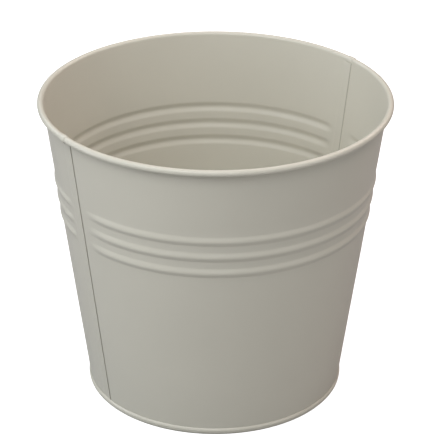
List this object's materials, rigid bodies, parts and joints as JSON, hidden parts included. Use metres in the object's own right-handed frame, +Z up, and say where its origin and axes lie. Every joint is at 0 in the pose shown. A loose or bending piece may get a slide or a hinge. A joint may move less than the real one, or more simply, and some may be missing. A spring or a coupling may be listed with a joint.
{
  "type": "florist bucket",
  "caption": "Tapered coated sheet-steel pot with a wired rolled rim, raised beads round the wall, folded lock side seams and a double-seamed raised base, for cut stems and water.",
  "frame": {"origin": "centre of the foot, on the ground plane", "axes": "+Z up through the mouth; the side seams lie at +X and -X; the front panel faces -Y and the back panel +Y"},
  "size_m": [0.26, 0.26, 0.23],
  "materials": {
    "warm_grey_coat": "satin, fine powder coat",
    "wire_steel": "drawn",
    "seam_compound": "dried, matt"
  },
  "bodies": {
    "root": {"front_wall_panel": "warm_grey_coat", "back_wall_panel": "warm_grey_coat", "base_pan": "warm_grey_coat", "rim_wire": "wire_steel", "left_seam_sealant": "seam_compound", "right_seam_sealant": "seam_compound", "base_seam_sealant": "seam_compound"}
  },
  "joints": []
}
